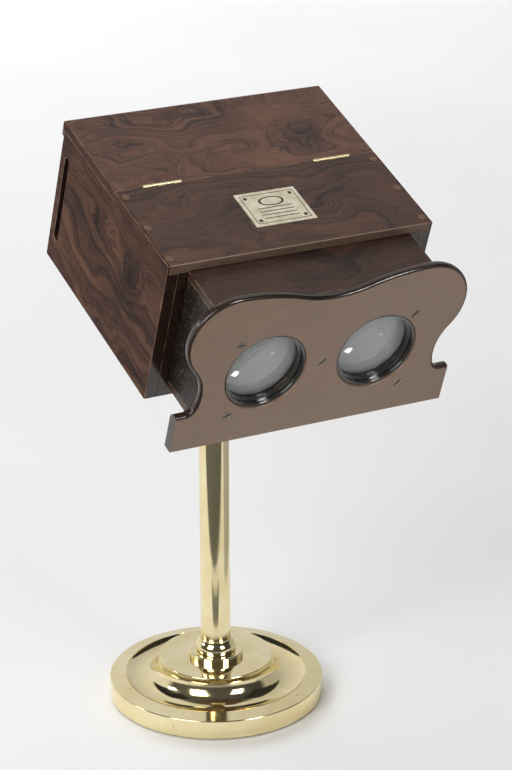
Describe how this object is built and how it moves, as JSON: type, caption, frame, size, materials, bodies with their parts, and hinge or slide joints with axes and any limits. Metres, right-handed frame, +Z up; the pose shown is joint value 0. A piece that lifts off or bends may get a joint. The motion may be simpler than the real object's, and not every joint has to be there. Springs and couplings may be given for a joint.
{
  "type": "table stereoscope",
  "caption": "Table stereoscope: a veneered wooden viewing box with a hinged lid and a sliding lens hood, which tilts and turns on a height-adjustable brass pillar with a round foot.",
  "frame": {"origin": "centre of the foot's underside, on the table", "axes": "+Z up along the pillar, +X to the right across the box's width, -Y towards the user's eyes"},
  "size_m": [0.1992, 0.2484, 0.4265],
  "materials": {
    "rosewood": "dark figured veneer, French polished",
    "lens_board_wood": "straight-grained, French polished, a shade paler",
    "hood_wood": "dark stained, satin",
    "plug_wood": "pale end-grain plugs, flush",
    "ebonised_wood": "black turned rims and rings, polished",
    "polished_brass": "turned, mirror polished and lacquered",
    "steel": "darkened slotted screws",
    "lens_glass": "clear, polished",
    "ground_glass": "ground on one face",
    "silvered_glass": "silvered reflector",
    "label_paper": "aged cream paper with a thin border line",
    "baize": "woollen baize"
  },
  "bodies": {
    "stand": {"foot": "polished_brass", "foot_baize": "baize", "base_nut": "polished_brass", "knop": "polished_brass", "pillar_tube": "polished_brass", "pillar_collar": "polished_brass"},
    "collar_screw": {"collar_screw": "polished_brass"},
    "stem": {"stem": "polished_brass", "fork_screw": "steel"},
    "fork": {"swivel_fork": "polished_brass", "tilt_pin": "steel"},
    "tilt_knob": {"tilt_knob": "polished_brass"},
    "box": {"tilt_bracket": "polished_brass", "bracket_screws": "steel", "bottom_board": "rosewood", "side_board_left": "rosewood", "side_board_right": "rosewood", "front_top": "rosewood", "guide_left": "rosewood", "guide_right": "rosewood", "back_stile_left": "rosewood", "back_stile_right": "rosewood", "back_rail_low": "rosewood", "back_rail_top": "rosewood", "ground_glass": "ground_glass", "glazing_bead_left": "rosewood", "glazing_bead_right": "rosewood", "glazing_bead_low": "rosewood", "glazing_bead_top": "rosewood", "card_guide_left": "rosewood", "card_guide_right": "rosewood", "top_plugs": "plug_wood", "label_plate": "label_paper", "hinge_leaf_left": "polished_brass", "hinge_leaf_right": "polished_brass", "hinge_pin_left": "polished_brass", "hinge_pin_right": "polished_brass", "hinge_screws": "polished_brass"},
    "lid": {"lid_board": "rosewood", "lid_strip": "rosewood", "lid_reflector": "silvered_glass", "lid_leaf_left": "polished_brass", "lid_leaf_right": "polished_brass", "lid_screws": "polished_brass"},
    "hood": {"lens_board": "lens_board_wood", "hood_top_board": "hood_wood", "hood_bottom_board": "hood_wood", "hood_side_left": "hood_wood", "hood_side_right": "hood_wood", "septum": "hood_wood", "lens_carrier": "hood_wood", "lens_rim_left": "ebonised_wood", "lens_rim_right": "ebonised_wood", "lens_left": "lens_glass", "lens_right": "lens_glass", "lens_ring_left": "ebonised_wood", "lens_ring_right": "ebonised_wood", "board_screw_set": "steel"}
  },
  "joints": [
    {"name": "height_slide", "type": "slide", "parent": "stand", "child": "stem", "axis": [0, 0, 1], "range_m": [-0.012, 0.06]},
    {"name": "collar_screw_turn", "type": "hinge", "parent": "stand", "child": "collar_screw", "pos_m": [0.02, 0, 0.215], "axis": [1, 0, 0], "range_deg": [0, 360]},
    {"name": "swivel", "type": "hinge", "parent": "stem", "child": "fork", "pos_m": [0, 0, 0.2345], "axis": [0, 0, 1], "continuous": true},
    {"name": "tilt", "type": "hinge", "parent": "fork", "child": "box", "pos_m": [0, 0, 0.2605], "axis": [1, 0, 0], "range_deg": [-35, 20]},
    {"name": "tilt_knob_turn", "type": "hinge", "parent": "fork", "child": "tilt_knob", "pos_m": [0.015, 0, 0.2605], "axis": [1, 0, 0], "range_deg": [0, 360]},
    {"name": "lid_hinge", "type": "hinge", "parent": "box", "child": "lid", "pos_m": [0, -0.05141, 0.39849], "axis": [1, 0, 0], "range_deg": [0, 170]},
    {"name": "focus_slide", "type": "slide", "parent": "box", "child": "hood", "axis": [0, -0.9342, -0.3567], "range_m": [-0.038, 0.012]}
  ]
}
